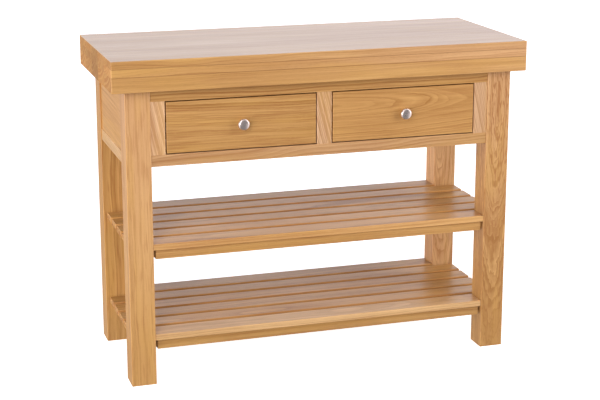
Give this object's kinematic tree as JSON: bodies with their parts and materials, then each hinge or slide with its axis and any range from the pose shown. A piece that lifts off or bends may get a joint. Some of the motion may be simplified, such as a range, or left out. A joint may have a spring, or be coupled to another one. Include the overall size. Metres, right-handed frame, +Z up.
{
  "type": "kitchen island",
  "caption": "Oak kitchen island with a thick worktop on square legs, inset drawers with round knobs, and slatted open shelves below.",
  "frame": {"origin": "centre of the footprint on the floor", "axes": "+X along the front from left to right, +Y from the drawer side to the back, +Z up"},
  "size_m": [1.17, 0.486, 0.9],
  "materials": {
    "lacquered_oak": "clear satin lacquer",
    "plain_oak": "sanded, unlacquered",
    "satin_nickel": "satin nickel",
    "screw_steel": "zinc plated"
  },
  "bodies": {
    "carcass": {"back_left_leg": "lacquered_oak", "back_panel": "lacquered_oak", "back_rail": "lacquered_oak", "back_right_leg": "lacquered_oak", "centre_kicker": "plain_oak", "centre_runner": "plain_oak", "centre_stile": "lacquered_oak", "drawer_stops": "plain_oak", "front_bottom_rail": "lacquered_oak", "front_left_leg": "lacquered_oak", "front_right_leg": "lacquered_oak", "front_top_rail": "lacquered_oak", "left_kicker": "plain_oak", "left_runner": "plain_oak", "left_side_panel": "lacquered_oak", "left_side_rail": "lacquered_oak", "left_stile": "lacquered_oak", "lower_shelf_back_rail": "lacquered_oak", "lower_shelf_front_rail": "lacquered_oak", "lower_shelf_left_rail": "lacquered_oak", "lower_shelf_right_rail": "lacquered_oak", "lower_shelf_slat_1": "lacquered_oak", "lower_shelf_slat_2": "lacquered_oak", "lower_shelf_slat_3": "lacquered_oak", "lower_shelf_slat_4": "lacquered_oak", "lower_shelf_slat_5": "lacquered_oak", "lower_shelf_slat_6": "lacquered_oak", "right_kicker": "plain_oak", "right_runner": "plain_oak", "right_side_panel": "lacquered_oak", "right_side_rail": "lacquered_oak", "right_stile": "lacquered_oak", "upper_shelf_back_rail": "lacquered_oak", "upper_shelf_front_rail": "lacquered_oak", "upper_shelf_left_rail": "lacquered_oak", "upper_shelf_right_rail": "lacquered_oak", "upper_shelf_slat_1": "lacquered_oak", "upper_shelf_slat_2": "lacquered_oak", "upper_shelf_slat_3": "lacquered_oak", "upper_shelf_slat_4": "lacquered_oak", "upper_shelf_slat_5": "lacquered_oak", "upper_shelf_slat_6": "lacquered_oak", "wood_screws": "screw_steel", "worktop_lower_board": "lacquered_oak", "worktop_middle_board": "lacquered_oak", "worktop_upper_board": "lacquered_oak"},
    "left_drawer": {"left_drawer_back": "plain_oak", "left_drawer_bottom": "plain_oak", "left_drawer_front": "lacquered_oak", "left_drawer_knob": "satin_nickel", "left_drawer_left_side": "plain_oak", "left_drawer_right_side": "plain_oak", "left_drawer_screws": "screw_steel"},
    "right_drawer": {"right_drawer_back": "plain_oak", "right_drawer_bottom": "plain_oak", "right_drawer_front": "lacquered_oak", "right_drawer_knob": "satin_nickel", "right_drawer_left_side": "plain_oak", "right_drawer_right_side": "plain_oak", "right_drawer_screws": "screw_steel"}
  },
  "joints": [
    {"name": "left_drawer_slide", "type": "slide", "parent": "carcass", "child": "left_drawer", "axis": [0, -1, 0], "range_m": [0, 0.28]},
    {"name": "right_drawer_slide", "type": "slide", "parent": "carcass", "child": "right_drawer", "axis": [0, -1, 0], "range_m": [0, 0.28]}
  ]
}
